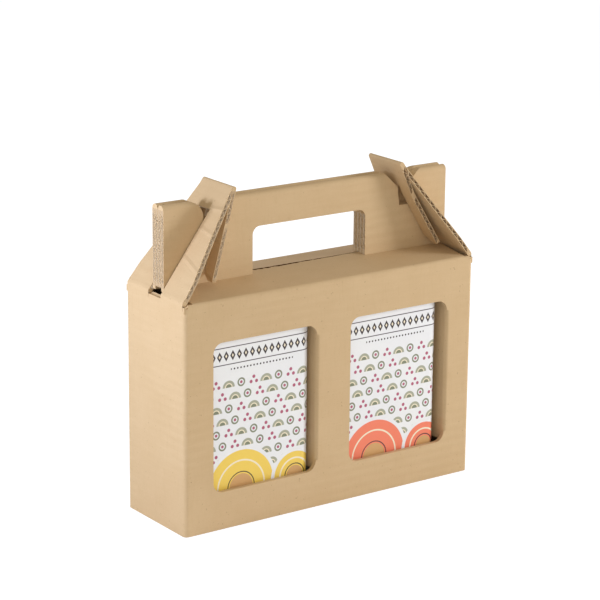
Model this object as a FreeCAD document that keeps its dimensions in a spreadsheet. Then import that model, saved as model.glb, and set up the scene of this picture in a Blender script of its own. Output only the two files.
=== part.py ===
import FreeCAD, Part
import math
import os
import re
import Sketcher

# Windowed carrier box of corrugated board, with two oil tins standing in it.
# Millimetres. X runs along the box, Y from the windows to the back, Z up.
# The origin is on the ground, in the middle of the box.

SIZES = {
    # Carton, outside
    "box_length": 230.0,
    "box_depth": 69.0,
    "wall_height": 152.7,
    "board": 3.0,
    "ply_gap": 0.3,
    "crease_round": 2.4,
    "corner_round": 3.0,
    # Open flutes at the cut edges that cross them
    "liner": 0.4,
    "flute_pitch": 6.2,
    "medium": 0.35,
    "flute_foot": 0.6,
    "flute_tip": 0.5,
    "flute_depth": 3.0,
    # Gently sloped roof and the doubled carrying panels
    "roof_rise": 4.0,
    "handle_rise": 53.3,
    "ear_overlap": 0.2,
    "roof_inset": 3.8,
    "hole_length": 90.0,
    "hole_height": 31.3,
    "hole_round": 5.5,
    # Ears at both ends of the carrying panels, and the notch beside each
    "ear_length": 29.6,
    "ear_round": 11.0,
    "ear_foot_lift": 2.0,
    "notch_depth": 23.0,
    "notch_floor_length": 9.5,
    "bevel_drop": 10.4,
    "bevel_run": 10.8,
    "neck_run": 1.6,
    # Windows and the flaps that were cut and folded in from them
    "end_post": 21.5,
    "centre_post": 27.0,
    "window_sill": 25.2,
    "window_height": 99.5,
    "window_round": 7.0,
    "window_flap_gap": 6.0,
    "cut_gap": 0.3,
    # End lock flaps
    "hinge_lift": 0.5,
    "hinge_gap": 0.3,
    "leaf_angle": 53.8,
    "leaf_length": 79.7,
    "wall_top_gap": 0.6,
    "leaf_inset": 1.8,
    "shoulder_one": 15.0,
    "shoulder_two": 42.0,
    "shoulder_one_inset": 3.1,
    "shoulder_two_half": 24.8,
    "neck_half": 17.3,
    "slot_half": 7.2,
    "slot_start": -1.6,
    "slot_end": 61.9,
    "bend_depth": 23.7,
    "mouth_flare": 4.0,
    "bridge_depth_left": 14.4,
    "leg_length_left": 60.5,
    "lean_upper_left": 14.2,
    "lean_lower_left": 15.2,
    "bridge_depth_right": 17.8,
    "leg_length_right": 66.0,
    "lean_upper_right": 24.0,
    "lean_lower_right": 32.0,
    # Snap-lock bottom
    "floor_side_gap": 2.0,
    "front_reach": 34.0,
    "front_shoulder": 24.0,
    "tongue_half": 50.0,
    "tongue_reach": 13.0,
    "tongue_ramp": 9.0,
    "ramp_run": 12.0,
    "rear_reach": 40.0,
    "rear_taper": 24.0,
    "end_reach": 54.5,
    "end_rear_reach": 15.5,
    "glue_flap_reach": 26.0,
    # Oil tins
    "tin_length_room": 15.0,
    "tin_depth_room": 1.0,
    "tin_height": 132.0,
    "tin_round": 8.0,
    "seam_height": 3.2,
    "seam_step": 0.8,
    "lid_recess": 2.4,
    "cap_radius": 15.0,
    "cap_height": 11.0,
    "rest_gap": 0.3,
    "tin_side_gap": 0.5,
    "right_tin_gap": 2.6,
}

doc = FreeCAD.newDocument("carrier_box")
sheet = doc.addObject("Spreadsheet::Sheet", "sizes")
for row, (alias, millimetres) in enumerate(SIZES.items(), start=1):
    sheet.set(f"A{row}", alias.replace("_", " "))
    sheet.set(f"B{row}", str(millimetres))
    sheet.setAlias(f"B{row}", alias)
doc.recompute()


def linked(formula):
    """The formula with each size's name pointing at its cell."""
    def cell(match):
        word = match.group()
        return f"sizes.{word}" if word in SIZES else word
    return re.sub(r"[a-z][a-z_]+", cell, str(formula))


def number(formula):
    """What the formula comes to now."""
    return float(sheet.evalExpression(linked(formula)))


# Places that several pieces share
HALF_LENGTH = "(box_length / 2)"
HALF_DEPTH = "(box_depth / 2)"
INNER_LENGTH = "(box_length / 2 - board)"
INNER_DEPTH = "(box_depth / 2 - board)"
WALL_TOP = "(wall_height - crease_round)"
RIDGE = "(wall_height + roof_rise)"
PANEL_TOP = "(wall_height + roof_rise + handle_rise)"
PANEL_HALF = "(2 * board + 1.5 * ply_gap)"
PANEL_END = "(box_length / 2 - board + ear_overlap)"
ROOF_END = "(box_length / 2 - board - roof_inset)"
ROOF_SLOPE = f"(roof_rise / ({HALF_DEPTH} - {PANEL_HALF}))"
ROOF_DROP = f"(board * sqrt(1 + {ROOF_SLOPE} ^ 2))"
HINGE_X = "(box_length / 2 - board / 2)"
HINGE_Z = "(wall_height + hinge_lift)"
EAR_INNER = f"({PANEL_END} - ear_length)"
WINDOW_LENGTH = "((box_length - 2 * end_post - centre_post) / 2)"
TIN_WIDTH = "(box_length / 2 - board - tin_length_room)"
TIN_DEPTH = "(box_depth - 2 * board - tin_depth_room)"
FLOOR_TOP = "(2 * board + ply_gap)"
UPPER_PLY = "(board + ply_gap)"
FLOOR_HALF = f"({INNER_LENGTH} - floor_side_gap)"
FRONT_FLAP_EDGE = f"(-{INNER_DEPTH} + front_reach)"
TONGUE_TIP = f"({FRONT_FLAP_EDGE} + tongue_reach)"
INNER_LAYER = "(0.5 * ply_gap + 0.5 * board)"
OUTER_LAYER = "(1.5 * ply_gap + 1.5 * board)"


def origin_plane(body, role):
    planes = [plane for plane in body.Origin.OriginFeatures if plane.Role == role]
    return planes[0]


def new_sketch(body, label, plane, offset="0"):
    """A sketch on one of the body's origin planes, moved along its normal."""
    sketch = body.newObject("Sketcher::SketchObject", label)
    sketch.AttachmentSupport = (origin_plane(body, plane), "")
    sketch.MapMode = "FlatFace"
    sketch.setExpression("AttachmentOffset.Base.z", linked(offset))
    return sketch


def bind(sketch, kind, *where, formula):
    index = sketch.addConstraint(Sketcher.Constraint(kind, *where, number(formula)))
    sketch.setExpression(f"Constraints[{index}]", linked(formula))


def add_outline(sketch, corners):
    """A closed outline. A corner is (x, y), or (x, y, centre x, centre y, radius)
    where the stretch from it to the next corner is an arc."""
    places = [FreeCAD.Vector(number(corner[0]), number(corner[1]), 0) for corner in corners]
    ends = []
    for index, corner in enumerate(corners):
        start = places[index]
        stop = places[(index + 1) % len(corners)]
        if len(corner) == 2:
            geometry = sketch.addGeometry(Part.LineSegment(start, stop))
            ends.append((geometry, 1, 2))
            continue
        centre = FreeCAD.Vector(number(corner[2]), number(corner[3]), 0)
        from_centre = start - centre
        to_centre = stop - centre
        first = math.atan2(from_centre.y, from_centre.x)
        last = math.atan2(to_centre.y, to_centre.x)
        clockwise = from_centre.cross(to_centre).z < 0
        if clockwise:
            first, last = last, first
        circle = Part.Circle(centre, FreeCAD.Vector(0, 0, 1), number(corner[4]))
        geometry = sketch.addGeometry(Part.ArcOfCircle(circle, first, last))
        ends.append((geometry, 2, 1) if clockwise else (geometry, 1, 2))
    for index, (geometry, start, stop) in enumerate(ends):
        following, following_start, _ = ends[(index + 1) % len(ends)]
        join = Sketcher.Constraint("Coincident", geometry, stop, following, following_start)
        sketch.addConstraint(join)
    for corner, (geometry, start, stop) in zip(corners, ends):
        bind(sketch, "DistanceX", -1, 1, geometry, start, formula=corner[0])
        bind(sketch, "DistanceY", -1, 1, geometry, start, formula=corner[1])
        if len(corner) == 2:
            continue
        chord = sketch.getPoint(geometry, 2) - sketch.getPoint(geometry, 1)
        if abs(chord.x) > abs(chord.y):
            bind(sketch, "DistanceY", -1, 1, geometry, 3, formula=corner[3])
        else:
            bind(sketch, "DistanceX", -1, 1, geometry, 3, formula=corner[2])


def add_circle(sketch, x, y, radius):
    centre = FreeCAD.Vector(number(x), number(y), 0)
    circle = Part.Circle(centre, FreeCAD.Vector(0, 0, 1), number(radius))
    geometry = sketch.addGeometry(circle)
    bind(sketch, "DistanceX", -1, 1, geometry, 3, formula=x)
    bind(sketch, "DistanceY", -1, 1, geometry, 3, formula=y)
    bind(sketch, "Radius", geometry, formula=radius)


def rectangle(left, low, right, high):
    return [(left, low), (right, low), (right, high), (left, high)]


def rounded_rectangle(left, low, right, high, radius):
    """Corners of a rectangle whose four corners are quarter circles."""
    west = f"({left}) + ({radius})"
    east = f"({right}) - ({radius})"
    south = f"({low}) + ({radius})"
    north = f"({high}) - ({radius})"
    return [
        (west, low),
        (east, low, east, south, radius),
        (right, south),
        (right, north, east, north, radius),
        (east, high),
        (west, high, west, north, radius),
        (left, north),
        (left, south, west, south, radius),
    ]


def extrude(kind, body, sketch, length, symmetric):
    feature = body.newObject(f"PartDesign::{kind}", f"{sketch.Name}_{kind.lower()}")
    feature.Profile = sketch
    feature.setExpression("Length", linked(length))
    if symmetric:
        feature.SideType = "Symmetric"
    elif kind == "Pocket":
        feature.Reversed = True
    body.Tip = feature
    return feature


def pad(body, label, plane, corners, length, offset="0", symmetric=False):
    sketch = new_sketch(body, label, plane, offset)
    add_outline(sketch, corners)
    return extrude("Pad", body, sketch, length, symmetric)


def pocket(body, label, plane, corners, length, offset="0", symmetric=False):
    sketch = new_sketch(body, label, plane, offset)
    add_outline(sketch, corners)
    return extrude("Pocket", body, sketch, length, symmetric)


def add_flutes(body, label, plane, layers, start, run, length, offset="0",
               origin=("0", "0"), angle="90", symmetric=False):
    """The gaps between the liners and the wavy middle layer, cut along the flutes.
    A row starts at the origin and runs at the angle, with as many flutes as the run
    holds; the layers are the distances of the boards' middle planes to its left."""
    sketch = new_sketch(body, label, plane, offset)
    sketch.AttachmentOffset = FreeCAD.Placement(
        FreeCAD.Vector(), FreeCAD.Rotation(FreeCAD.Vector(0, 0, 1), number(angle))
    )
    sketch.setExpression("AttachmentOffset.Rotation.Angle", linked(angle))
    sketch.setExpression("AttachmentOffset.Base.x", linked(origin[0]))
    sketch.setExpression("AttachmentOffset.Base.y", linked(origin[1]))
    wide = "(board / 2 - liner)"
    narrow = f"({wide} - medium)"
    for layer in layers:
        for shift, side in (("0", 1), ("flute_pitch / 2", -1)):
            begin = f"({start} + {shift})"
            middle = f"({begin} + flute_pitch / 2)"
            add_outline(sketch, [
                (f"{begin} + flute_foot", f"{layer} + {side} * {wide}"),
                (f"{middle} - flute_tip", f"{layer} - {side} * {narrow}"),
                (f"{middle} + flute_tip", f"{layer} - {side} * {narrow}"),
                (f"{begin} + flute_pitch - flute_foot", f"{layer} + {side} * {wide}"),
            ])
    cells = extrude("Pocket", body, sketch, length, symmetric)
    doc.recompute()
    row = body.newObject("PartDesign::LinearPattern", f"{label}_row")
    row.Originals = [cells]
    row.Direction = (sketch, ["H_Axis"])
    row.Mode = "Spacing"
    row.setExpression("Offset", linked("flute_pitch"))
    row.setExpression("Occurrences", linked(f"floor(({run}) / flute_pitch)"))
    body.Tip = row


def round_edges(body, label, radius, axis, places):
    """Rounds the straight edges along one axis that pass through the places."""
    doc.recompute()
    base = body.Tip
    across = [other for other in range(3) if other != axis]
    targets = [[number(value) for value in place] for place in places]
    names = []
    for index, edge in enumerate(base.Shape.Edges, start=1):
        ends = [vertex.Point for vertex in edge.Vertexes]
        if len(ends) < 2 or not isinstance(edge.Curve, Part.Line):
            continue
        along = ends[1] - ends[0]
        if abs(along[axis]) < along.Length * 0.9999:
            continue
        for target in targets:
            if all(abs(ends[0][k] - want) < 0.01 for k, want in zip(across, target)):
                names.append(f"Edge{index}")
    fillet = body.newObject("PartDesign::Fillet", label)
    fillet.Base = (base, names)
    fillet.setExpression("Radius", linked(radius))
    body.Tip = fillet


def new_body(label):
    body = doc.addObject("PartDesign::Body", label)
    body.Label = label
    return body


def add_walls(body):
    """The four walls: one strip of board folded round four upright creases."""
    sketch = new_sketch(body, "walls", "XY_Plane")
    outer = rounded_rectangle(
        f"-{HALF_LENGTH}", f"-{HALF_DEPTH}", HALF_LENGTH, HALF_DEPTH, "corner_round"
    )
    add_outline(sketch, outer)
    inner = rectangle(f"-{INNER_LENGTH}", f"-{INNER_DEPTH}", INNER_LENGTH, INNER_DEPTH)
    add_outline(sketch, inner)
    extrude("Pad", body, sketch, WALL_TOP, symmetric=False)


def roof_height(across):
    """Height of the roof's top face at a distance from the middle plane."""
    return f"({RIDGE} - ({across} - {PANEL_HALF}) * {ROOF_SLOPE})"


def add_roof_and_panel(body, name, side):
    """One roof slope and its carrying panel, which is doubled inwards at the top."""
    inner_face = "(ply_gap / 2)"
    inner_back = "(ply_gap / 2 + board)"
    outer_back = "(1.5 * ply_gap + board)"
    turn = f"(({PANEL_HALF} - {inner_face}) / 2)"
    turn_height = f"({PANEL_TOP} - {turn})"
    middle = f"(({PANEL_HALF} + {inner_face}) / 2)"

    def at(across):
        return f"{side} * {across}"

    section = [
        (at(HALF_DEPTH), f"{WALL_TOP} - crease_round"),
        (at(HALF_DEPTH), "wall_height"),
        (at(PANEL_HALF), RIDGE),
        (at(PANEL_HALF), turn_height, at(middle), turn_height, turn),
        (at(middle), PANEL_TOP, at(middle), turn_height, turn),
        (at(inner_face), turn_height),
        (at(inner_face), f"{RIDGE} + ply_gap"),
        (at(inner_back), f"{RIDGE} + ply_gap"),
        (at(inner_back), turn_height),
        (at(outer_back), turn_height),
        (at(outer_back), f"{roof_height(outer_back)} - {ROOF_DROP}"),
        (at(INNER_DEPTH), f"{roof_height(INNER_DEPTH)} - {ROOF_DROP}"),
        (at(INNER_DEPTH), f"{WALL_TOP} - crease_round"),
    ]
    pad(body, f"{name}_panel", "YZ_Plane", section, f"2 * {PANEL_END}", symmetric=True)
    crease = (f"{side} * {HALF_DEPTH}", "wall_height")
    round_edges(body, f"{name}_roof_crease", "crease_round", 0, [crease])


def cut_hand_hole(body):
    """The hand-hole through all four layers, open down to the roof."""
    top = f"({RIDGE} + hole_height)"
    shoulder = f"({top} - hole_round)"
    end = "(hole_length / 2)"
    corner = f"({end} - hole_round)"
    outline = [
        (f"-{end}", RIDGE),
        (end, RIDGE),
        (end, shoulder, corner, shoulder, "hole_round"),
        (corner, top),
        (f"-{corner}", top, f"-{corner}", shoulder, "hole_round"),
        (f"-{end}", shoulder),
    ]
    pocket(body, "hand_hole", "XZ_Plane", outline, f"2 * {PANEL_HALF}", symmetric=True)


def add_hole_tongues(body):
    """Roof tongues that were cut out of the hand-hole and meet in the middle."""
    for name, side in (("front", -1), ("rear", 1)):
        section = [
            (f"{side} * {PANEL_HALF}", RIDGE),
            (f"{side} * ply_gap / 2", roof_height("(ply_gap / 2)")),
            (f"{side} * ply_gap / 2", f"{roof_height('(ply_gap / 2)')} - {ROOF_DROP}"),
            (f"{side} * {PANEL_HALF}", f"{RIDGE} - {ROOF_DROP}"),
        ]
        length = "hole_length - 2 * cut_gap"
        pad(body, f"{name}_tongue", "YZ_Plane", section, length, symmetric=True)


def cut_panel_ends(body):
    """The notch beside each ear, the ear's foot and the end of the roof."""
    above = f"({PANEL_TOP} + board)"
    floor = f"({PANEL_TOP} - notch_depth)"
    ear_shoulder = f"({PANEL_TOP} - ear_round)"
    floor_start = f"({EAR_INNER} - notch_floor_length)"
    bevel_foot = f"({floor_start} - neck_run)"
    bevel_top = f"({bevel_foot} - bevel_run)"
    for name, side in (("left", -1), ("right", 1)):
        notch = [
            (f"{side} * {bevel_top}", above),
            (f"{side} * {bevel_top}", PANEL_TOP),
            (f"{side} * {bevel_foot}", f"{PANEL_TOP} - bevel_drop"),
            (f"{side} * {floor_start}", floor),
            (f"{side} * {EAR_INNER}", floor),
            (
                f"{side} * {EAR_INNER}", ear_shoulder,
                f"{side} * ({EAR_INNER} + ear_round)", ear_shoulder, "ear_round",
            ),
            (f"{side} * ({EAR_INNER} + ear_round)", PANEL_TOP),
            (f"{side} * ({EAR_INNER} + ear_round)", above),
        ]
        width = f"2 * {PANEL_HALF} + board"
        pocket(body, f"{name}_notch", "XZ_Plane", notch, width, symmetric=True)
        foot = rectangle(
            f"{side} * {ROOF_END}", f"{WALL_TOP} - board",
            f"{side} * {HALF_LENGTH}", f"{WALL_TOP} + crease_round + ear_foot_lift",
        )
        pocket(body, f"{name}_roof_end", "XZ_Plane", foot, f"2 * {INNER_DEPTH}", symmetric=True)
        slope_end = rectangle(
            f"{side} * {ROOF_END}", f"{WALL_TOP} + crease_round - ply_gap",
            f"{side} * {HALF_LENGTH}", f"{RIDGE} + board",
        )
        for edge, offset in (("front", PANEL_HALF), ("rear", f"-{HALF_DEPTH}")):
            reach = f"{HALF_DEPTH} - {PANEL_HALF}"
            pocket(body, f"{name}_{edge}_slope_end", "XZ_Plane", slope_end, reach, offset)


def add_carton_flutes(body):
    """Open flutes in the ends of the ears and the sides of the hand-hole, where
    the flutes run along the box."""
    layers = [f"-{OUTER_LAYER}", f"-{INNER_LAYER}", INNER_LAYER, OUTER_LAYER]
    foot = ("0", f"{RIDGE} + ply_gap")
    hole_end = "(hole_length / 2 + flute_depth)"
    ear_run = "handle_rise - 2 * board"
    hole_run = "hole_height - hole_round"
    ends = [
        ("left_ear", f"-{PANEL_END}", "flute_depth", ear_run),
        ("right_ear", f"{PANEL_END} - flute_depth", "flute_depth", ear_run),
        ("left_hole", f"-{hole_end}", "board + flute_depth", hole_run),
        ("right_hole", "hole_length / 2 - board", "board + flute_depth", hole_run),
    ]
    for name, place, depth, run in ends:
        label = f"{name}_flutes"
        add_flutes(body, label, "YZ_Plane", layers, "board / 2", run, depth, place, foot)


def add_hinge_seats(body):
    """The top of each end wall, hollowed under the crease of its lock flap and
    level outside it, so that the flap can lie out flat."""
    for name, side in (("left", -1), ("right", 1)):
        wall_end = rectangle(
            f"{side} * {INNER_LENGTH}", f"{WALL_TOP} - board",
            f"{side} * {HALF_LENGTH}", HINGE_Z,
        )
        width = "box_depth - 2 * wall_top_gap"
        pad(body, f"{name}_wall_top", "XZ_Plane", wall_end, width, symmetric=True)
        sketch = new_sketch(body, f"{name}_hinge_seat", "XZ_Plane")
        add_circle(sketch, f"{side} * {HINGE_X}", HINGE_Z, "board / 2 + hinge_gap")
        extrude("Pocket", body, sketch, "2 * box_depth", symmetric=True)
        outside = rectangle(
            f"{side} * {HINGE_X}", f"{HINGE_Z} - board / 2 - hinge_gap",
            f"{side} * ({HALF_LENGTH} + board)", f"{HINGE_Z} + board",
        )
        pocket(body, f"{name}_wall_ledge", "XZ_Plane", outside, "2 * box_depth", symmetric=True)


def window_left(index):
    """Left edge of a window, counted from the left end wall."""
    return f"(-{HALF_LENGTH} + end_post + {index} * ({WINDOW_LENGTH} + centre_post))"


def window_right(index):
    return f"({window_left(index)} + {WINDOW_LENGTH})"


def add_window(body, index):
    """A window cut on three sides, and its flap folded in along the fourth."""
    name = f"window_{index + 1}"
    left = window_left(index)
    right = window_right(index)
    low = "window_sill"
    high = "(window_sill + window_height)"
    inset = f"({left} + window_round)"
    low_round = f"({low} + window_round)"
    high_round = f"({high} - window_round)"
    opening = [
        (inset, low),
        (right, low),
        (right, high),
        (inset, high, inset, high_round, "window_round"),
        (left, high_round),
        (left, low_round, inset, low_round, "window_round"),
    ]
    pocket(body, name, "XZ_Plane", opening, "2 * board", f"{INNER_DEPTH} - board / 2")
    front = f"-{HALF_DEPTH}"
    free = f"({INNER_DEPTH} - window_flap_gap)"
    free_inset = f"({free} - window_round)"
    flap_low = f"({low} + cut_gap)"
    flap_high = f"({high} - cut_gap)"
    flap = [
        (front, flap_low),
        (free_inset, flap_low, free_inset, low_round, f"{low_round} - {flap_low}"),
        (f"{free_inset} + {low_round} - {flap_low}", low_round),
        (
            f"{free_inset} + {low_round} - {flap_low}", high_round,
            free_inset, high_round, f"{flap_high} - {high_round}",
        ),
        (free_inset, flap_high),
        (front, flap_high),
    ]
    pad(body, f"{name}_flap", "YZ_Plane", flap, "board", right)
    round_edges(body, f"{name}_crease", "crease_round", 2, [(right, front)])

    # The cut's corners beside the crease are round in the flap and in the wall.
    root = f"({front} + window_round)"
    flap_corners = new_sketch(body, f"{name}_flap_corners", "YZ_Plane", right)
    wall_corners = new_sketch(body, f"{name}_wall_corners", "XZ_Plane", INNER_DEPTH)
    beside = f"({right} + board)"
    turn = f"({right} - window_round)"
    for edge, middle in ((low, low_round), (high, high_round)):
        add_outline(flap_corners, [
            (front, edge), (root, edge, root, middle, "window_round"), (front, middle),
        ])
        add_outline(wall_corners, [
            (beside, edge), (turn, edge, turn, middle, "window_round"),
            (right, middle), (beside, middle),
        ])
    extrude("Pocket", body, flap_corners, "board", symmetric=False)
    extrude("Pad", body, wall_corners, "board", symmetric=False)


def add_rear_bottom_flap(body):
    """Rear flap of the snap-lock bottom: it steps up over the others, and its
    notch takes the front flap's tongue."""
    wall = f"({INNER_DEPTH} + board / 2)"
    foot = f"({INNER_DEPTH} - board)"
    edge = f"({INNER_DEPTH} - rear_reach)"
    section = [
        (wall, "0"),
        (wall, "board"),
        (foot, "board"),
        (f"{foot} - ramp_run", FLOOR_TOP),
        (edge, FLOOR_TOP),
        (edge, UPPER_PLY),
        (f"{foot} - ramp_run", UPPER_PLY),
        (foot, "0"),
    ]
    pad(body, "rear_bottom_flap", "YZ_Plane", section, f"2 * {FLOOR_HALF}", symmetric=True)
    past = f"({edge} - board)"
    half = "(tongue_half + cut_gap)"
    notch = rectangle(f"-{half}", past, half, f"{TONGUE_TIP} + cut_gap")
    pocket(body, "tongue_notch", "XY_Plane", notch, "board + ply_gap", UPPER_PLY)
    for name, side in (("left", -1), ("right", 1)):
        corner = [
            (f"{side} * ({FLOOR_HALF} + board)", past),
            (f"{side} * ({FLOOR_HALF} - rear_taper)", past),
            (f"{side} * ({FLOOR_HALF} + board)", foot),
        ]
        pocket(body, f"{name}_rear_taper", "XY_Plane", corner, "board + ply_gap", UPPER_PLY)


def add_front_bottom_flaps(body):
    """Front flap with its tongue stepped up into the notch, and the two end flaps."""
    wall = f"(-{INNER_DEPTH} - board / 2)"
    shoulder = f"(-{INNER_DEPTH} + front_shoulder)"
    shoulder_half = f"({FLOOR_HALF} - 2 * front_shoulder / 3)"
    front_flap = [
        (f"-{FLOOR_HALF}", wall),
        (FLOOR_HALF, wall),
        (shoulder_half, shoulder),
        ("tongue_half", FRONT_FLAP_EDGE),
        ("-tongue_half", FRONT_FLAP_EDGE),
        (f"-{shoulder_half}", shoulder),
    ]
    pad(body, "front_bottom_flap", "XY_Plane", front_flap, "board")
    root = f"({FRONT_FLAP_EDGE} - board)"
    tongue = [
        (root, "0"),
        (FRONT_FLAP_EDGE, "0"),
        (f"{FRONT_FLAP_EDGE} + tongue_ramp", UPPER_PLY),
        (TONGUE_TIP, UPPER_PLY),
        (TONGUE_TIP, FLOOR_TOP),
        (f"{FRONT_FLAP_EDGE} + tongue_ramp", FLOOR_TOP),
        (FRONT_FLAP_EDGE, "board"),
        (root, "board"),
    ]
    pad(body, "tongue", "YZ_Plane", tongue, "2 * tongue_half", symmetric=True)
    for name, side in (("left", -1), ("right", 1)):
        tip = f"({INNER_LENGTH} - end_reach)"
        wall_side = f"({INNER_LENGTH} + board / 2)"
        start = f"({shoulder} - 2 * front_shoulder / 3)"
        end_flap = [
            (f"{side} * {wall_side}", "end_rear_reach"),
            (f"{side} * {wall_side}", start),
            (f"{side} * ({FLOOR_HALF} - floor_side_gap)", start),
            (f"{side} * ({shoulder_half} + 2 * floor_side_gap)", f"{shoulder} + floor_side_gap"),
            (f"{side} * {tip}", f"{FRONT_FLAP_EDGE} + floor_side_gap"),
            (f"{side} * {tip}", "end_rear_reach"),
        ]
        pad(body, f"{name}_bottom_flap", "XY_Plane", end_flap, "board")


def add_glue_flap(body):
    """The strip that closes the sleeve, glued inside the right end wall."""
    strip = rectangle(
        f"{INNER_LENGTH} - board", f"{INNER_DEPTH} - glue_flap_reach",
        f"{INNER_LENGTH} + board / 2", f"{INNER_DEPTH} + board / 2",
    )
    height = f"{WALL_TOP} - {FLOOR_TOP} - 2 * board"
    pad(body, "glue_flap", "XY_Plane", strip, height, f"{FLOOR_TOP} + board")


def build_carton():
    body = new_body("carton")
    add_walls(body)
    for name, side in (("front", -1), ("rear", 1)):
        add_roof_and_panel(body, name, side)
    cut_hand_hole(body)
    add_hole_tongues(body)
    cut_panel_ends(body)
    add_hinge_seats(body)
    for index in (0, 1):
        add_window(body, index)
    add_rear_bottom_flap(body)
    add_front_bottom_flaps(body)
    add_glue_flap(body)
    add_carton_flutes(body)
    return body


def strip_section(x, z, angle, length, half="board / 2"):
    """Section of a flat strip of board whose middle line starts at x, z."""
    end_x = f"({x} + ({length}) * cos({angle}))"
    end_z = f"({z} + ({length}) * sin({angle}))"
    return [
        (f"{x} - {half} * sin({angle})", f"{z} + {half} * cos({angle})"),
        (f"{x} + {half} * sin({angle})", f"{z} - {half} * cos({angle})"),
        (f"{end_x} + {half} * sin({angle})", f"{end_z} - {half} * cos({angle})"),
        (f"{end_x} - {half} * sin({angle})", f"{end_z} + {half} * cos({angle})"),
    ]


def add_fold(body, label, x, z, width):
    sketch = new_sketch(body, label, "XZ_Plane")
    add_circle(sketch, x, z, "board / 2")
    extrude("Pad", body, sketch, width, symmetric=True)


def fluted_strip(body, label, start, angle, length, width):
    """A flat strip whose flutes run across it and are open at both long edges."""
    strip = strip_section(*start, angle, length)
    pad(body, label, "XZ_Plane", strip, width, symmetric=True)
    add_flutes(
        body, f"{label}_flutes", "XZ_Plane", ["0"], "board / 2 + liner",
        f"{length} - board", "2 * box_depth", origin=start, angle=angle, symmetric=True,
    )
    core = "2 * (neck_half - flute_depth)"
    pad(body, f"{label}_core", "XZ_Plane", strip, core, symmetric=True)


def build_end_flap(name, side):
    """End lock flap: an outer leaf that the ear passes through, folded back over
    the notch into an inner leaf whose two legs straddle the carrying panel."""
    body = new_body(f"end_flap_{name}")
    hinge_x = f"({side} * {HINGE_X})"
    angle = f"(90 + {side} * (90 - leaf_angle))"
    base_half = f"({HALF_DEPTH} - leaf_inset)"
    leaf_start = (hinge_x, HINGE_Z)
    fluted_strip(body, f"{name}_outer_leaf", leaf_start, angle, "leaf_length",
                 f"2 * {base_half}")
    add_fold(body, f"{name}_hinge", hinge_x, HINGE_Z, f"2 * {base_half}")

    def height(along):
        return f"({HINGE_Z} + ({along}) * sin(leaf_angle))"

    past = f"({HALF_DEPTH} + board)"
    beyond = height("(leaf_length + 2 * board)")
    for edge, sign in (("front", -1), ("rear", 1)):
        flank = [
            (f"{sign} * {base_half}", height("board")),
            (f"{sign} * ({HALF_DEPTH} - shoulder_one_inset)", height("shoulder_one")),
            (f"{sign} * shoulder_two_half", height("shoulder_two")),
            (f"{sign} * neck_half", height("(leaf_length - board)")),
            (f"{sign} * neck_half", beyond),
            (f"{sign} * {past}", beyond),
            (f"{sign} * {past}", height("board")),
        ]
        pocket(body, f"{name}_{edge}_flank", "YZ_Plane", flank, "2 * box_length", symmetric=True)
    slot_x = f"({hinge_x} + slot_start * cos({angle}))"
    slot = strip_section(slot_x, height("slot_start"), angle, "slot_end - slot_start", "board")
    pocket(body, f"{name}_slot", "XZ_Plane", slot, "2 * slot_half", symmetric=True)

    fold_x = f"({hinge_x} + leaf_length * cos({angle}))"
    fold_z = height("leaf_length")
    upper_angle = f"(270 + {side} * lean_upper_{name})"
    lower_angle = f"(270 + {side} * lean_lower_{name})"
    bend_x = f"({fold_x} + bend_depth * cos({upper_angle}))"
    bend_z = f"({fold_z} + bend_depth * sin({upper_angle}))"
    add_fold(body, f"{name}_fold", fold_x, fold_z, "2 * neck_half")
    fluted_strip(body, f"{name}_inner_leaf", (fold_x, fold_z), upper_angle,
                 "bend_depth", "2 * neck_half")
    add_fold(body, f"{name}_bend", bend_x, bend_z, "2 * neck_half")
    leg = f"(leg_length_{name} - bend_depth)"
    fluted_strip(body, f"{name}_legs", (bend_x, bend_z), lower_angle,
                 leg, "2 * neck_half")

    # The inner slot starts below the bridge and is open at the bottom.
    bridge_x = f"({fold_x} + bridge_depth_{name} * cos({upper_angle}))"
    bridge_z = f"({fold_z} + bridge_depth_{name} * sin({upper_angle}))"
    reach = "(0.8 * board)"
    mouth_x = f"({bend_x} + leg_length_{name} * cos({lower_angle}))"
    mouth_z = f"({bend_z} + leg_length_{name} * sin({lower_angle}))"
    inner_slot = [
        (
            f"{bridge_x} - {reach} * sin({upper_angle})",
            f"{bridge_z} + {reach} * cos({upper_angle})",
        ),
        (
            f"{bridge_x} + {reach} * sin({upper_angle})",
            f"{bridge_z} - {reach} * cos({upper_angle})",
        ),
        (
            f"{mouth_x} + {reach} * sin({lower_angle})",
            f"{mouth_z} - {reach} * cos({lower_angle})",
        ),
        (
            f"{mouth_x} - {reach} * sin({lower_angle})",
            f"{mouth_z} + {reach} * cos({lower_angle})",
        ),
    ]
    pocket(body, f"{name}_inner_slot", "XZ_Plane", inner_slot, "2 * slot_half", symmetric=True)

    # The slot's mouth flares, so that the legs slide over the panel.
    tip_x = f"({bend_x} + {leg} * cos({lower_angle}))"
    tip_z = f"({bend_z} + {leg} * sin({lower_angle}))"
    mouth = [
        ("-slot_half", f"{tip_z} + mouth_flare"),
        ("-neck_half", f"{tip_z} - board"),
        ("neck_half", f"{tip_z} - board"),
        ("slot_half", f"{tip_z} + mouth_flare"),
    ]
    before = f"{tip_x} - 1.5 * board"
    pocket(body, f"{name}_mouth", "YZ_Plane", mouth, "3 * board", before)
    return body


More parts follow.
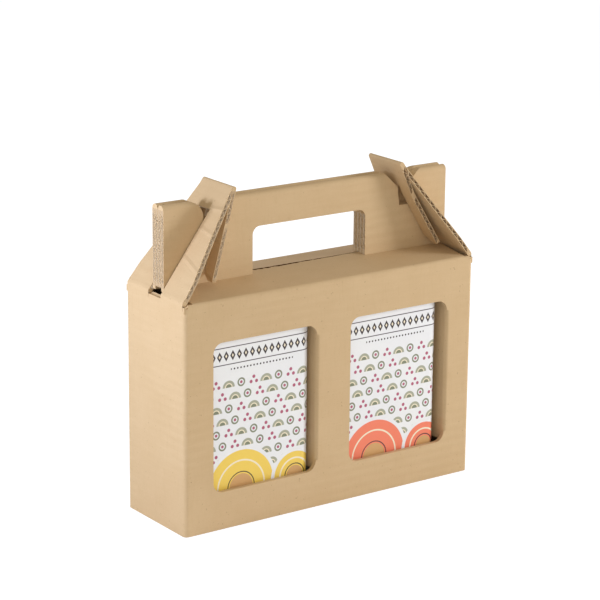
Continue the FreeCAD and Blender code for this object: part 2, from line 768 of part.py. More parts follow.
def build_tin(name, right_face):
    """A sealed oil tin: drawn sides, a seamed rim at both ends, a screw closure."""
    body = new_body(f"tin_{name}")
    left_face = f"({right_face} - {TIN_WIDTH})"
    half = f"({TIN_DEPTH} / 2)"
    base = f"({FLOOR_TOP} + rest_gap)"
    rim = rounded_rectangle(left_face, f"-{half}", right_face, half, "tin_round")
    inner = rounded_rectangle(
        f"{left_face} + seam_step", f"-{half} + seam_step",
        f"{right_face} - seam_step", f"{half} - seam_step", "tin_round - seam_step",
    )
    recess = rounded_rectangle(
        f"{left_face} + 3 * seam_step", f"-{half} + 3 * seam_step",
        f"{right_face} - 3 * seam_step", f"{half} - 3 * seam_step",
        "tin_round - 3 * seam_step",
    )
    pad(body, f"{name}_can", "XY_Plane", inner, "tin_height", base)
    pad(body, f"{name}_bottom_seam", "XY_Plane", rim, "seam_height", base)
    top_seam = f"{base} + tin_height - seam_height"
    pad(body, f"{name}_top_seam", "XY_Plane", rim, "seam_height", top_seam)
    lid = f"{base} + tin_height - lid_recess"
    pocket(body, f"{name}_lid", "XY_Plane", recess, "2 * lid_recess", lid)
    sketch = new_sketch(body, f"{name}_cap", "XY_Plane", f"{lid} - seam_step")
    add_circle(sketch, f"{right_face} - {TIN_WIDTH} / 2", "0", "cap_radius")
    extrude("Pad", body, sketch, "cap_height + lid_recess", symmetric=False)
    return body


carton = build_carton()
flaps = [build_end_flap("left", -1), build_end_flap("right", 1)]
tins = [
    build_tin("left", f"({window_right(0)} - tin_side_gap)"),
    build_tin("right", f"({window_right(1)} - right_tin_gap)"),
]
pieces = [carton] + flaps + tins
doc.recompute()

for thing in doc.Objects:
    if {"Invalid", "Error"} & set(thing.State):
        raise RuntimeError(f"{thing.Name} did not build")
for piece in pieces:
    if piece.Shape.isNull() or not piece.Shape.isValid() or len(piece.Shape.Solids) != 1:
        raise RuntimeError(f"{piece.Label} is not one valid solid")

os.makedirs("parts", exist_ok=True)
for piece in pieces:
    piece.Shape.exportStep(f"parts/{piece.Label}.step")
    box = piece.Shape.BoundBox
    print(piece.Label, round(piece.Shape.Volume), box)
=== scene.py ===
import bpy
import math
from collections import namedtuple
from mathutils import Matrix, Vector


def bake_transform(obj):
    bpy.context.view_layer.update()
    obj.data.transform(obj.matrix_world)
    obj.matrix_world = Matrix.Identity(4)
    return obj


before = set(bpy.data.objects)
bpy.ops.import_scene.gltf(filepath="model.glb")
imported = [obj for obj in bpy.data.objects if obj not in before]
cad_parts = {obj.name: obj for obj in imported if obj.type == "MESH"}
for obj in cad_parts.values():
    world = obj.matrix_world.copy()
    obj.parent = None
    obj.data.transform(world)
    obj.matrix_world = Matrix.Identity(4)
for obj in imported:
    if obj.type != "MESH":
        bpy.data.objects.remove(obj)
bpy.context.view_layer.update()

# Camera, from a fit to six corners of the box in the photograph
VIEW_AZIMUTH = -35.5
VIEW_ELEVATION = 15.59
VIEW_ROLL = 0.55
VIEW_DISTANCE = 1.53
VIEW_TARGET = Vector((-0.0028, 0.0, 0.1315))
FOCAL_IN_FRAMES = 3.88
SENSOR = 36.0
CLIP = (0.05, 50.0)

# Light: a cool soft box close to the left end, a second one on the right in front
# and weak ones in front and behind
Lamp = namedtuple("Lamp", "watts width colour place")
WORLD_LEVEL = 0.50
WORLD_COLOUR = (1.0, 0.95, 0.82, 1.0)
LIGHT_AIM = Vector((0.0, 0.0, 0.12))
LIGHTS = {
    "left_box": Lamp(0.79, 0.07, (0.92, 1.02, 1.30), (-0.40, 0.01, 0.235)),
    "right_box": Lamp(8.4, 0.30, (0.98, 1.0, 1.08), (1.02, -0.64, 0.40)),
    "front_box": Lamp(1.5, 0.40, (0.98, 1.0, 1.06), (-0.55, -1.10, 0.35)),
    "back_box": Lamp(2.2, 0.40, (0.94, 1.0, 1.20), (0.45, 1.15, 0.45)),
}

# Floor: its half width, its place a hair under the box, and its shades
FLOOR_REACH = 6.0
FLOOR_LOW = -0.0003
FLOOR_WHITE = 0.88
FLOOR_TINT = (0.97, 0.98, 1.0, 1.0)
FLOOR_LIT = (0.92, 0.96)
FLOOR_SHADOW = (0.30, 0.32)

# Fine patterns: scale, detail, roughness
CLOUD = (38.0, 4.0, 0.6)
GRAIN = (900.0, 3.0, 0.6)
SPECKS = (620.0, 1.0, 0.5)
SHORT_FIBRES = (1.0, 3.0, 0.65)
LONG_FIBRES = (1.0, 2.0, 0.6)
PATCHES = (14.0, 2.0, 0.5)
DENTS = (55.0, 2.0, 0.5)
SEAM_WANDER = (45.0, 1.0, 0.5)
SEAM_RAGGED = (210.0, 2.0, 0.5)
LACQUER_CLOUD = (25.0, 3.0, 0.5)
LACQUER_RIPPLE = (30.0, 2.0, 0.5)
LACQUER_GRAIN = (400.0, 2.0, 0.5)
FLOOR_CLOUD = (3.0, 2.0, 0.5)
SHORT_FIBRE_STRETCH = (60.0, 60.0, 900.0)
LONG_FIBRE_STRETCH = (700.0, 700.0, 90.0)


def srgb(red, green, blue):
    """A display colour from 0 to 255 as linear values with alpha."""
    values = []
    for channel in (red, green, blue):
        share = channel / 255
        linear = share / 12.92 if share <= 0.04045 else ((share + 0.055) / 1.055) ** 2.4
        values.append(linear)
    return (*values, 1.0)


def grey(level):
    return (level, level, level, 1.0)


KRAFT = srgb(203, 174, 134)
KRAFT_DARK = srgb(186, 155, 114)
KRAFT_LIGHT = srgb(217, 191, 153)
FLECK = srgb(120, 88, 58)
CUT_PAPER = srgb(184, 158, 126)
# Painted light: a near-white tone on the flute walls that lifts the shade inside the flutes
FLUTE_PAINTED_LIGHT = srgb(246, 232, 212)
# Painted shade for the holes between the flutes drawn on the windows' sides
PAINTED_FLUTE_SHADE = srgb(112, 82, 56)
# Painted shade for the narrow gap where the hand-hole's tongues meet
SEAM_PAINTED_SHADE = srgb(62, 30, 8)
KRAFT_SHINE = 0.12
KRAFT_ROUGHNESS = (0.72, 0.85)
# Kraft's layers: pattern, its colour, where it sets in, where it is full, how much then
KRAFT_LAYERS = (
    ("cloud", KRAFT_LIGHT, 0.3, 0.7, 0.30),
    ("short_fibres", KRAFT_LIGHT, 0.42, 0.72, 0.16),
    ("long_fibres", KRAFT_DARK, 0.52, 0.75, 0.14),
    ("grain", KRAFT_DARK, 0.35, 0.65, 0.10),
    ("specks", FLECK, 0.735, 0.79, 0.4),
    ("washboard", KRAFT_DARK, -1.0, 1.0, 0.13),
)
# Relief: strength, height in metres
GRAIN_RELIEF = (0.35, 0.00012)
DENT_RELIEF = (0.35, 0.0009)
WASHBOARD_RELIEF = (0.45, 0.00022)
CREASE_RELIEF = (0.7, 0.0007)
LACQUER_RELIEF = (0.12, 0.001)
# Spans of a noise's values over which it does its work
NOISE_SPAN = (0.3, 0.7)
PATCH_SPAN = (0.4, 0.65)
WANDER_SPAN = (0.2, 0.8)
RAGGED_SPAN = (0.40, 0.60)
# A face counts as turned to an axis where its normal leans to it by more than this
TURNED = 0.5
TURNED_FULLY = 0.8

# Board: its flutes, the gap between its liners, the wavy layer in it, the panel's layers
BOARD = 0.003
FLUTE_PITCH = 0.0062
CORE_HALF = 0.00113
MEDIUM = 0.00040
LAYER_PITCH = 0.0033
PANEL_HALF = 0.0063

# Carton: where the cut edges of its ears, hand-hole and windows lie
CUT_MARGIN = 0.001
EAR_FLUTES_FROM = 0.1091
EAR_CUT_FROM = EAR_FLUTES_FROM + CUT_MARGIN
EAR_FLUTES_TOP = 0.2068
HOLE_HALF = 0.045
HOLE_FLUTES_FROM = HOLE_HALF - 0.0004
HOLE_FLUTES_TO = HOLE_HALF + 0.0032
HOLE_CUT_TO = HOLE_HALF + CUT_MARGIN
HOLE_TOP = 0.1880
# Hand-hole: share of its core that takes the edge colours, and share of its cut faces that shows
# bare paper instead of painted light
HOLE_CORE_SHARE = 0.9
HOLE_CUT_SHARE = 0.4
ROOF_LOW = 0.1525
ROOF_RIDGE = 0.1568
TONGUE_TOP = 0.1585
FRONT_WALL_MIDDLE = -0.0330
WINDOW_CUTS_TO = 0.05

# Painted shade along the ragged joint of the tongues: its sideways drift, its half widths, and
# how it thins out
SEAM_DRIFT = 0.0006
SEAM_HALF_WIDTHS = (0.00050, 0.0013)
SEAM_THINS_FROM = -0.015
SEAM_THINS_TO = 0.035
SEAM_THINNEST = 0.45

# Strips of each lock flap in the XZ plane: start, end
HINGE = (0.1135, 0.1532)
FOLD = (0.06643, 0.21752)
FLAP_STRIPS = {
    "left": [
        ((-HINGE[0], HINGE[1]), (-FOLD[0], FOLD[1])),
        ((-FOLD[0], FOLD[1]), (-0.07224, 0.19454)),
        ((-0.07224, 0.19454), (-0.08189, 0.15903)),
    ],
    "right": [
        (HINGE, FOLD),
        (FOLD, (0.07607, 0.19587)),
        ((0.07607, 0.19587), (0.09849, 0.16000)),
    ],
}
# Distance in Y at which a flap's cut faces begin, and how far its core stops from a fold
FLAP_FLUTES_FROM = 0.0145
STRIP_MARGIN = BOARD / 2
# How much of the cut edges' own colour, with the painted light on their flute walls, each part
# shows
CORE_SHARES = {"carton": 0.9, "left": 0.8, "right": 0.2}

# Cross creases of the left flap: way along its leaf from the hinge, slant. Then the half
# width of a crease's core, its reach, and the span in Y over which the creases fade out
CROSS_CREASES = ((0.050, 0.15), (0.062, -0.10), (0.030, 0.30))
CREASE_CORE = 0.0002
CREASE_REACH = 0.0022
NEAR_STRIP = (-0.010, -0.0065)

# Crease liners: the fold's radius and lean, the strip's lift and thickness, its runs down
# the wall and up the leaf, and its bands on both sides of the slot
CREASE_RADIUS = BOARD / 2
CREASE_LEAN = 36.2
CREASE_STEPS = 8
LINER_LIFT = 0.00006
LINER_THICKNESS = 0.00010
LINER_DROPS = (0.0042, 0.0022)
LINER_RUN = 0.0022
LINER_BANDS = ((-0.0325, -0.0073), (0.0073, 0.0325))

# Tins: their looks, and where their rims, caps and prints begin
WHITE_LACQUER = srgb(231, 231, 233)
WHITE_LACQUER_WARM = srgb(235, 235, 234)
LACQUER_ROUGHNESS = (0.34, 0.44)
LACQUER_SHINE = 0.4
TINPLATE = srgb(190, 190, 188)
CAP_GREEN = srgb(60, 66, 58)
TIN_LEFT_EDGES = {"left": -0.0935, "right": 0.0135}
SUN_COLOURS = {"left": srgb(238, 204, 92), "right": srgb(238, 128, 98)}
BOTTOM_RIM_TOP = 0.0099
TOP_RIM_FOOT = 0.1353
CAP_FOOT = 0.1392
PRINT_FOOT = 0.0252
MILLIMETRE = 0.001

# Print, in millimetres from the left edge and the foot of a tin's front
INK_DARK = srgb(58, 48, 50)
INK_SAGE = srgb(166, 167, 146)
INK_MOSS = srgb(128, 132, 108)
INK_PLUM = srgb(172, 88, 112)
INK_TAN = srgb(206, 160, 104)
INK_CREAM = srgb(240, 228, 200)
PRINT_SOFT = 0.12
FIELD_CELL = (9.6, 8.2)
FIELD_STAGGER = 0.5
FIELD_ROWS = 9
FIELD_KINDS = 3.0
FAN_FOOT = -2.2
FAN_ARCS = ((4.6, INK_SAGE), (2.9, INK_CREAM), (2.2, INK_MOSS))
HOOP_RADIUS = 2.4
HOOP_HALF_WIDTH = 0.55
HOOP_HEART = 1.0
DOT_RADIUS = 1.15
DOT_PLACES = ((-2.1, -1.2), (2.1, -1.2), (0.0, 2.0))
# Suns: centre, radius, share of the tan heart
SUNS = ((24.0, 25.0, 0.36), (66.0, 16.0, 0.40))
SUN_CENTRE_HEIGHT = -1.0
SUN_MARGIN = 2.6
SUN_RING_SHARE = 0.72
SUN_RING_HALF_WIDTH = 0.55
HEART_RIM_GAP = 1.2
HEART_RIM_HALF_WIDTH = 0.35
LOZENGE_PITCH = 5.0
LOZENGE_HEIGHT = 88.5
LOZENGE_STEEPNESS = 1.7
LOZENGE_REACHES = ((3.4, INK_DARK), (1.3, INK_CREAM))
FRIEZE_LINES = ((82.6, 83.2), (93.8, 94.4))
BEAD_PITCH = 2.5
BEAD_HEIGHT = 79.4
BEAD_RADIUS = 0.62
BEAD_ROW = (16.0, 64.0)


class Nodes:
    """Short calls for building one material's node tree."""

    # Places of the colour mixer's sockets
    SHARE, FIRST, SECOND = 0, 6, 7
    RESULT = 2

    def __init__(self, name):
        self.material = bpy.data.materials.new(name)
        self.material.use_nodes = True
        self.tree = self.material.node_tree
        self.tree.nodes.clear()
        self.output = self.tree.nodes.new("ShaderNodeOutputMaterial")

    def add(self, kind, **settings):
        node = self.tree.nodes.new(kind)
        for key, value in settings.items():
            setattr(node, key, value)
        return node

    def feed(self, socket, value):
        if isinstance(value, bpy.types.NodeSocket):
            self.tree.links.new(value, socket)
        else:
            socket.default_value = value

    def math(self, operation, *values):
        node = self.add("ShaderNodeMath", operation=operation)
        for socket, value in zip(node.inputs, values):
            self.feed(socket, value)
        return node.outputs[0]

    def size(self, value):
        return self.math("ABSOLUTE", value)

    def less(self, value, amount):
        return self.math("SUBTRACT", value, amount)

    def all_of(self, *shares):
        product = shares[0]
        for other in shares[1:]:
            product = self.math("MULTIPLY", product, other)
        return product

    def above(self, value, level):
        return self.math("GREATER_THAN", value, level)

    def below(self, value, level):
        return self.math("LESS_THAN", value, level)

    def remap(self, value, low, high, to_low=0.0, to_high=1.0):
        node = self.add("ShaderNodeMapRange", clamp=True)
        for socket, item in zip(node.inputs, (value, low, high, to_low, to_high)):
            self.feed(socket, item)
        return node.outputs[0]

    def mix(self, share, first, second):
        node = self.add("ShaderNodeMix", data_type="RGBA")
        self.feed(node.inputs[self.SHARE], share)
        self.feed(node.inputs[self.FIRST], first)
        self.feed(node.inputs[self.SECOND], second)
        return node.outputs[self.RESULT]

    def tint(self, base, colour, value, low, high, most):
        """Mixes in a colour, from none of it at low up to its most at high."""
        return self.mix(self.remap(value, low, high, 0.0, most), base, colour)

    def split(self, vector):
        node = self.add("ShaderNodeSeparateXYZ")
        self.feed(node.inputs[0], vector)
        return node.outputs

    def stretched(self, vector, scale):
        node = self.add("ShaderNodeMapping")
        self.feed(node.inputs["Vector"], vector)
        node.inputs["Scale"].default_value = scale
        return node.outputs[0]

    def noise(self, vector, scale, detail, roughness):
        node = self.add("ShaderNodeTexNoise")
        self.feed(node.inputs["Vector"], vector)
        node.inputs["Scale"].default_value = scale
        node.inputs["Detail"].default_value = detail
        node.inputs["Roughness"].default_value = roughness
        return node.outputs[0]

    def bump(self, height, strength, distance, normal=None):
        node = self.add("ShaderNodeBump")
        node.inputs["Strength"].default_value = strength
        node.inputs["Distance"].default_value = distance
        self.feed(node.inputs["Height"], height)
        if normal is not None:
            self.feed(node.inputs["Normal"], normal)
        return node.outputs[0]

    def blend(self, share, first, second):
        node = self.add("ShaderNodeMixShader")
        for socket, value in zip(node.inputs, (share, first.outputs[0], second.outputs[0])):
            self.feed(socket, value)
        return node

    def surface(self, colour, roughness, normal, specular, metallic=None):
        shader = self.add("ShaderNodeBsdfPrincipled")
        self.feed(shader.inputs["Base Color"], colour)
        self.feed(shader.inputs["Roughness"], roughness)
        self.feed(shader.inputs["Normal"], normal)
        self.feed(shader.inputs["Specular IOR Level"], specular)
        if metallic is not None:
            self.feed(shader.inputs["Metallic"], metallic)
        self.tree.links.new(shader.outputs[0], self.output.inputs["Surface"])
        return self.material


def carton_core(n, x, y, z):
    """1 between the liners at the ears' cut edges, a little less at the hand-hole's."""
    along = n.size(x)
    across = n.size(y)
    in_panel = n.below(across, PANEL_HALF)
    above_roof = n.above(z, ROOF_RIDGE)
    in_ear = n.all_of(n.above(along, EAR_FLUTES_FROM), n.below(z, EAR_FLUTES_TOP))
    beside_hole = n.all_of(n.above(along, HOLE_FLUTES_FROM), n.below(along, HOLE_FLUTES_TO))
    in_hole = n.all_of(beside_hole, n.below(z, HOLE_TOP), HOLE_CORE_SHARE)
    layer = n.math("PINGPONG", across, LAYER_PITCH / 2)
    inside = n.above(layer, LAYER_PITCH / 2 - CORE_HALF)
    return n.all_of(n.math("MAXIMUM", in_ear, in_hole), in_panel, above_roof, inside)


def painted_seam_shade(n, place, x, y, z):
    """1 along the ragged joint between the two tongues at the hand-hole's foot, painted dark as
    the shade of the gap between them.
    """
    wander = n.noise(place, *SEAM_WANDER)
    drift = n.remap(wander, *WANDER_SPAN, -SEAM_DRIFT, SEAM_DRIFT)
    off = n.size(n.math("ADD", y, drift))
    width = n.remap(n.noise(place, *SEAM_RAGGED), *RAGGED_SPAN, *SEAM_HALF_WIDTHS)
    thinning = n.remap(x, SEAM_THINS_FROM, SEAM_THINS_TO, 1.0, SEAM_THINNEST)
    line = n.below(off, n.all_of(width, thinning))
    in_hole = n.below(n.size(x), HOLE_HALF)
    return n.all_of(line, in_hole, n.above(z, ROOF_LOW), n.below(z, TONGUE_TOP))


def window_flutes(n, x, y, z, facing_x):
    """1 in the gaps of the flutes drawn on the cut left side of each window, which get a painted
    shade.
    """
    off = n.less(y, FRONT_WALL_MIDDLE)
    in_wall = n.below(n.size(off), CORE_HALF)
    on_left_side = n.all_of(n.above(facing_x, TURNED_FULLY), n.below(x, WINDOW_CUTS_TO))
    turn = n.all_of(z, 2 * math.pi / FLUTE_PITCH)
    wave = n.all_of(n.math("SINE", turn), CORE_HALF - MEDIUM / 2)
    from_wave = n.size(n.math("SUBTRACT", off, wave))
    gap = n.remap(from_wave, MEDIUM / 2, MEDIUM)
    return n.all_of(in_wall, on_left_side, gap)


def strip_axes(start, end):
    """A strip's length and its unit step in X and Z."""
    length = math.dist(start, end)
    return length, (end[0] - start[0]) / length, (end[1] - start[1]) / length


def flap_core(n, x, z, strips):
    """1 between the liners of a lock flap's strips."""
    share = None
    for start, end in strips:
        length, step_x, step_z = strip_axes(start, end)
        from_x = n.less(x, start[0])
        from_z = n.less(z, start[1])
        along = n.math("ADD", n.all_of(from_x, step_x), n.all_of(from_z, step_z))
        off = n.math("SUBTRACT", n.all_of(from_x, step_z), n.all_of(from_z, step_x))
        here = n.all_of(n.above(along, STRIP_MARGIN), n.below(along, length - STRIP_MARGIN))
        inside = n.all_of(n.below(n.size(off), CORE_HALF), here)
        share = inside if share is None else n.math("MAXIMUM", share, inside)
    return share


def cross_creases(n, x, y, z):
    """1 along the faint cross creases in the near strip of the left lock flap."""
    start, end = FLAP_STRIPS["left"][0]
    _, step_x, step_z = strip_axes(start, end)
    from_x = n.all_of(n.less(x, start[0]), step_x)
    from_z = n.all_of(n.less(z, start[1]), step_z)
    along = n.math("ADD", from_x, from_z)
    lines = None
    for middle, slant in CROSS_CREASES:
        off = n.math("SUBTRACT", along, n.math("ADD", n.all_of(y, slant), middle))
        line = n.remap(n.size(off), CREASE_CORE, CREASE_REACH, 1.0, 0.0)
        lines = line if lines is None else n.math("MAXIMUM", lines, line)
    return n.all_of(lines, n.remap(y, *NEAR_STRIP, 1.0, 0.0))


def kraft_patterns(n, place, z):
    """The patterns of the paper, with the faint waves of the flutes behind it."""
    wave = n.math("SINE", n.all_of(z, 2 * math.pi / FLUTE_PITCH))
    patches = n.remap(n.noise(place, *PATCHES), *PATCH_SPAN)
    return {
        "cloud": n.noise(place, *CLOUD),
        "short_fibres": n.noise(n.stretched(place, SHORT_FIBRE_STRETCH), *SHORT_FIBRES),
        "long_fibres": n.noise(n.stretched(place, LONG_FIBRE_STRETCH), *LONG_FIBRES),
        "grain": n.noise(place, *GRAIN),
        "specks": n.noise(place, *SPECKS),
        "washboard": n.all_of(wave, patches),
    }


def carton_cuts(n, base, x, y, z, facing_x):
    """The carton's cut edges: bare paper on the cut, painted light on the flute walls, and
    painted shade in the holes of the flutes drawn on the windows' sides.
    """
    at_ear = n.above(n.size(x), EAR_CUT_FROM)
    at_hole = n.all_of(n.below(n.size(x), HOLE_CUT_TO), HOLE_CUT_SHARE)
    end_on = n.above(n.size(facing_x), TURNED)
    cut_face = n.all_of(end_on, n.math("MAXIMUM", at_ear, at_hole))
    # Bare paper on the cut faces, painted light on the flute walls
    paper = n.mix(cut_face, FLUTE_PAINTED_LIGHT, CUT_PAPER)
    share = n.all_of(carton_core(n, x, y, z), CORE_SHARES["carton"])
    base = n.mix(share, base, paper)
    # Painted shade in the holes of the flutes drawn on the windows' sides
    return n.mix(window_flutes(n, x, y, z, facing_x), base, PAINTED_FLUTE_SHADE)


def flap_cuts(n, base, part, x, y, z, facing_y):
    """A lock flap's cut edges, in the same way: bare paper on the cut faces, painted light on the
    flute walls.
    """
    end_on = n.above(n.size(facing_y), TURNED)
    cut_face = n.all_of(end_on, n.above(n.size(y), FLAP_FLUTES_FROM))
    # Bare paper on the cut faces, painted light on the flute walls
    paper = n.mix(cut_face, FLUTE_PAINTED_LIGHT, CUT_PAPER)
    share = n.all_of(flap_core(n, x, z, FLAP_STRIPS[part]), CORE_SHARES[part])
    return n.mix(share, base, paper)


def kraft_liner(name, part=None):
    """Kraft board, with the cut edges of one part: carton, left or right."""
    n = Nodes(name)
    coordinates = n.add("ShaderNodeTexCoord")
    place = coordinates.outputs["Object"]
    x, y, z = n.split(place)
    facing_x, facing_y, _ = n.split(coordinates.outputs["Normal"])
    patterns = kraft_patterns(n, place, z)
    base = KRAFT
    for pattern, colour, low, high, most in KRAFT_LAYERS:
        base = n.tint(base, colour, patterns[pattern], low, high, most)
    normal = n.bump(patterns["grain"], *GRAIN_RELIEF)
    normal = n.bump(n.noise(place, *DENTS), *DENT_RELIEF, normal)
    normal = n.bump(patterns["washboard"], *WASHBOARD_RELIEF, normal)
    shine = KRAFT_SHINE
    if part == "carton":
        base = carton_cuts(n, base, x, y, z, facing_x)
        # Painted shade along the gap between the tongues, with no shine
        joint = painted_seam_shade(n, place, x, y, z)
        base = n.mix(joint, base, SEAM_PAINTED_SHADE)
        shine = n.remap(joint, 0.0, 1.0, KRAFT_SHINE, 0.0)
    elif part is not None:
        base = flap_cuts(n, base, part, x, y, z, facing_y)
    if part == "left":
        normal = n.bump(cross_creases(n, x, y, z), *CREASE_RELIEF, normal)
    roughness = n.remap(patterns["cloud"], *NOISE_SPAN, *KRAFT_ROUGHNESS)
    return n.surface(base, roughness, normal, shine)


class Print:
    """Flat inks on a tin's front, drawn with distances in millimetres."""

    def __init__(self, n, u, v, colour):
        self.n = n
        self.u = u
        self.v = v
        self.colour = colour

    def inside(self, distance, edge):
        return self.n.remap(distance, edge - PRINT_SOFT, edge + PRINT_SOFT, 1.0, 0.0)

    def ring(self, distance, radius, half_width):
        return self.inside(self.n.size(self.n.less(distance, radius)), half_width)

    def band(self, value, low, high):
        return self.ring(value, (low + high) / 2, (high - low) / 2)

    def distance(self, u, v, centre_u=0.0, centre_v=0.0):
        across = self.n.less(u, centre_u)
        up = self.n.less(v, centre_v)
        squares = self.n.math("ADD", self.n.all_of(across, across), self.n.all_of(up, up))
        return self.n.math("SQRT", squares)

    def ink(self, colour, *shares):
        self.colour = self.n.mix(self.n.all_of(*shares), self.colour, colour)

    def columns(self, value, pitch):
        """Coordinates from the middle of each column, and the column's number."""
        column = self.n.math("FLOOR", self.n.math("DIVIDE", value, pitch))
        from_left = self.n.math("SUBTRACT", value, self.n.all_of(column, pitch))
        return self.n.less(from_left, pitch / 2), column

    def field(self):
        """Fans, hoops and triple dots by turns, in a staggered grid."""
        n = self.n
        cell_v, row = self.columns(self.v, FIELD_CELL[1])
        odd = n.math("FLOORED_MODULO", row, 2.0)
        moved = n.math("ADD", self.u, n.all_of(odd, FIELD_STAGGER * FIELD_CELL[0]))
        cell_u, column = self.columns(moved, FIELD_CELL[0])
        kind = n.math("FLOORED_MODULO", n.math("ADD", column, row), FIELD_KINDS)
        in_field = self.inside(row, FIELD_ROWS - 0.5)
        is_fan, is_hoop, is_dots = [self.ring(kind, number, 0.5) for number in range(3)]
        fan_v = n.less(cell_v, FAN_FOOT)
        from_foot = self.distance(cell_u, fan_v)
        upper = self.inside(n.all_of(fan_v, -1.0), 0.0)
        for radius, colour in FAN_ARCS:
            self.ink(colour, in_field, is_fan, upper, self.inside(from_foot, radius))
        from_middle = self.distance(cell_u, cell_v)
        hoop = self.ring(from_middle, HOOP_RADIUS, HOOP_HALF_WIDTH)
        self.ink(INK_MOSS, in_field, is_hoop, hoop)
        self.ink(INK_PLUM, in_field, is_hoop, self.inside(from_middle, HOOP_HEART))
        for dot_u, dot_v in DOT_PLACES:
            dot = self.inside(self.distance(cell_u, cell_v, dot_u, dot_v), DOT_RADIUS)
            self.ink(INK_PLUM, in_field, is_dots, dot)

    def suns(self, paper, colour):
        """Half suns that rise from the lower edge."""
        for centre, radius, heart_share in SUNS:
            from_sun = self.distance(self.u, self.v, centre, SUN_CENTRE_HEIGHT)
            heart = radius * heart_share
            self.ink(paper, self.inside(from_sun, radius + SUN_MARGIN))
            self.ink(colour, self.inside(from_sun, radius))
            self.ink(INK_CREAM, self.ring(from_sun, radius * SUN_RING_SHARE, SUN_RING_HALF_WIDTH))
            self.ink(INK_TAN, self.inside(from_sun, heart))
            self.ink(INK_DARK, self.ring(from_sun, heart + HEART_RIM_GAP, HEART_RIM_HALF_WIDTH))

    def frieze(self):
        """A row of lozenges between two lines, with a row of beads below."""
        n = self.n
        step_u, _ = self.columns(self.u, LOZENGE_PITCH)
        reach = n.math("ADD", n.all_of(n.size(step_u), LOZENGE_STEEPNESS),
                       n.size(n.less(self.v, LOZENGE_HEIGHT)))
        for edge, colour in LOZENGE_REACHES:
            self.ink(colour, self.inside(reach, edge))
        for low, high in FRIEZE_LINES:
            self.ink(INK_DARK, self.band(self.v, low, high))
        bead_u, _ = self.columns(self.u, BEAD_PITCH)
        beads = self.inside(self.distance(bead_u, n.less(self.v, BEAD_HEIGHT)), BEAD_RADIUS)
        self.ink(INK_DARK, beads, self.band(self.u, *BEAD_ROW))


def printed_tin(side):
    """White lacquered tinplate with a printed front, bare rims and lid, dark cap."""
    n = Nodes(f"white_tin_{side}")
    coordinates = n.add("ShaderNodeTexCoord")
    place = coordinates.outputs["Object"]
    x, _, z = n.split(place)
    _, facing_y, _ = n.split(coordinates.outputs["Normal"])
    cloud = n.noise(place, *LACQUER_CLOUD)
    white = n.mix(n.remap(cloud, *NOISE_SPAN), WHITE_LACQUER, WHITE_LACQUER_WARM)
    u = n.math("DIVIDE", n.less(x, TIN_LEFT_EDGES[side]), MILLIMETRE)
    v = n.math("DIVIDE", n.less(z, PRINT_FOOT), MILLIMETRE)
    front = Print(n, u, v, white)
    front.field()
    front.suns(white, SUN_COLOURS[side])
    front.frieze()
    colour = n.mix(n.below(facing_y, -TURNED), white, front.colour)
    bare = n.math("MAXIMUM", n.above(z, TOP_RIM_FOOT), n.below(z, BOTTOM_RIM_TOP))
    colour = n.mix(bare, colour, TINPLATE)
    cap = n.above(z, CAP_FOOT)
    colour = n.mix(cap, colour, CAP_GREEN)
    ripple = n.bump(n.noise(place, *LACQUER_RIPPLE), *LACQUER_RELIEF)
    grain = n.noise(place, *LACQUER_GRAIN)
    roughness = n.remap(grain, *NOISE_SPAN, *LACQUER_ROUGHNESS)
    metal = n.all_of(bare, n.math("SUBTRACT", 1.0, cap))
    return n.surface(colour, roughness, ripple, LACQUER_SHINE, metallic=metal)


def dress_frame():
    looks = {
        "carton": kraft_liner("kraft_board", "carton"),
        "end_flap_left": kraft_liner("kraft_board_left_flap", "left"),
        "end_flap_right": kraft_liner("kraft_board_right_flap", "right"),
        "tin_left": printed_tin("left"),
        "tin_right": printed_tin("right"),
    }
    for node, material in looks.items():
        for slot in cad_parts[node].material_slots:
            slot.material = material


def add_mesh(name, vertices, faces, material):
    mesh = bpy.data.meshes.new(name)
    mesh.from_pydata(vertices, [], faces)
    mesh.materials.append(material)
    piece = bpy.data.objects.new(name, mesh)
    bpy.context.scene.collection.objects.link(piece)
    return piece


def crease_rows(side):
    """Inner and outer points, in XZ, of the strip round one end wall's crease."""
    wall_x, hinge_z = HINGE
    lean = math.radians(CREASE_LEAN)
    path = [(0.0, -drop, 0.0) for drop in LINER_DROPS]
    path += [(lean * step / CREASE_STEPS, 0.0, 0.0) for step in range(CREASE_STEPS + 1)]
    path.append((lean, 0.0, LINER_RUN))
    rows = []
    for turn, drop, run in path:
        row = []
        for lift in (LINER_LIFT, LINER_LIFT + LINER_THICKNESS):
            reach = CREASE_RADIUS + lift
            x = side * (wall_x + math.cos(turn) * reach - math.sin(turn) * run)
            z = hinge_z + math.sin(turn) * reach + math.cos(turn) * run + drop
            row.append((x, z))
        rows.append(row)
    return rows


def add_crease_liner(side, material):
    """The outer liner that runs unbroken from an end wall over the flap's crease."""
    name = "left" if side < 0 else "right"
    rows = crease_rows(side)
    vertices = []
    faces = []
    for low, high in LINER_BANDS:
        base = len(vertices)
        for inner, outer in rows:
            vertices += [(inner[0], low, inner[1]), (outer[0], low, outer[1])]
            vertices += [(outer[0], high, outer[1]), (inner[0], high, inner[1])]
        for row in range(len(rows) - 1):
            here = base + 4 * row
            for edge in range(4):
                after = (edge + 1) % 4
                faces.append((here + edge, here + after, here + 4 + after, here + 4 + edge))
        last = base + 4 * (len(rows) - 1)
        faces.append((base + 3, base + 2, base + 1, base))
        faces.append((last, last + 1, last + 2, last + 3))
    if side > 0:
        faces = [tuple(reversed(face)) for face in faces]
    piece = add_mesh(f"{name}_crease_liner", vertices, faces, material)
    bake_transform(piece)


def seen_directly(tree):
    """1 on rays that show the surroundings, 0 on those that light the box."""
    path = tree.nodes.new("ShaderNodeLightPath")
    share = path.outputs["Is Camera Ray"]
    for other in ("Is Glossy Ray", "Is Transmission Ray"):
        either = tree.nodes.new("ShaderNodeMath")
        either.operation = "MAXIMUM"
        tree.links.new(share, either.inputs[0])
        tree.links.new(path.outputs[other], either.inputs[1])
        share = either.outputs[0]
    return share


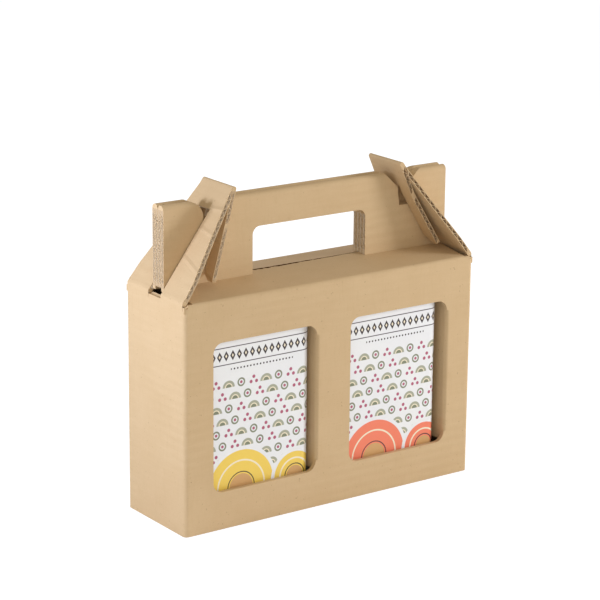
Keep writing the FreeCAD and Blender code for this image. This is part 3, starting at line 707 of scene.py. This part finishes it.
def floor_look():
    """White with the box's shadow where it is seen, pale where it only lights the box,
    and clear from below, so that the box's underside can be seen."""
    n = Nodes("floor_white")
    place = n.add("ShaderNodeTexCoord").outputs["Object"]
    cloud = n.noise(place, *FLOOR_CLOUD)
    lighting = n.add("ShaderNodeBsdfDiffuse")
    n.feed(lighting.inputs["Color"], n.mix(cloud, *map(grey, FLOOR_LIT)))
    shadow = n.add("ShaderNodeBsdfDiffuse")
    n.feed(shadow.inputs["Color"], n.mix(cloud, *map(grey, FLOOR_SHADOW)))
    white = n.add("ShaderNodeEmission")
    white.inputs["Color"].default_value = FLOOR_TINT
    white.inputs["Strength"].default_value = FLOOR_WHITE
    shown = n.add("ShaderNodeAddShader")
    n.feed(shown.inputs[0], shadow.outputs[0])
    n.feed(shown.inputs[1], white.outputs[0])
    from_above = n.blend(seen_directly(n.tree), lighting, shown)
    from_below = n.add("ShaderNodeNewGeometry").outputs["Backfacing"]
    look = n.blend(from_below, from_above, n.add("ShaderNodeBsdfTransparent"))
    n.feed(n.output.inputs["Surface"], look.outputs[0])
    return n.material


def add_floor():
    corners = []
    for across, back in ((-1, -1), (1, -1), (1, 1), (-1, 1)):
        corners.append((across * FLOOR_REACH, back * FLOOR_REACH, FLOOR_LOW))
    floor = add_mesh("floor", corners, [(0, 1, 2, 3)], floor_look())


def add_world():
    world = bpy.data.worlds.new("studio")
    bpy.context.scene.world = world
    world.use_nodes = True
    tree = world.node_tree
    tree.nodes.clear()
    light = tree.nodes.new("ShaderNodeBackground")
    light.inputs["Strength"].default_value = WORLD_LEVEL
    light.inputs["Color"].default_value = WORLD_COLOUR
    white = tree.nodes.new("ShaderNodeBackground")
    white.inputs["Color"].default_value = grey(1.0)
    mix = tree.nodes.new("ShaderNodeMixShader")
    output = tree.nodes.new("ShaderNodeOutputWorld")
    tree.links.new(seen_directly(tree), mix.inputs[0])
    tree.links.new(light.outputs[0], mix.inputs[1])
    tree.links.new(white.outputs[0], mix.inputs[2])
    tree.links.new(mix.outputs[0], output.inputs["Surface"])


def add_lights():
    for name, lamp in LIGHTS.items():
        data = bpy.data.lights.new(name, "AREA")
        data.energy = lamp.watts
        data.size = lamp.width
        data.color = lamp.colour
        light = bpy.data.objects.new(name, data)
        bpy.context.scene.collection.objects.link(light)
        place = Vector(lamp.place)
        turn = (place - LIGHT_AIM).to_track_quat("Z", "Y").to_matrix()
        light.matrix_world = Matrix.Translation(place) @ turn.to_4x4()


def add_camera():
    azimuth = math.radians(VIEW_AZIMUTH)
    elevation = math.radians(VIEW_ELEVATION)
    back = Vector((
        math.sin(azimuth) * math.cos(elevation),
        -math.cos(azimuth) * math.cos(elevation),
        math.sin(elevation),
    ))
    data = bpy.data.cameras.new("camera")
    data.sensor_width = SENSOR
    data.lens = SENSOR * FOCAL_IN_FRAMES
    data.clip_start, data.clip_end = CLIP
    camera = bpy.data.objects.new("camera", data)
    bpy.context.scene.collection.objects.link(camera)
    roll = Matrix.Rotation(math.radians(VIEW_ROLL), 3, "Z")
    turn = (-back).to_track_quat("-Z", "Y").to_matrix() @ roll
    camera.matrix_world = Matrix.Translation(VIEW_TARGET + back * VIEW_DISTANCE) @ turn.to_4x4()
    bpy.context.scene.camera = camera


dress_frame()
crease_board = kraft_liner("kraft_crease")
for side in (-1, 1):
    add_crease_liner(side, crease_board)
add_floor()
add_world()
add_lights()
add_camera()
bpy.context.scene.view_settings.view_transform = "Standard"
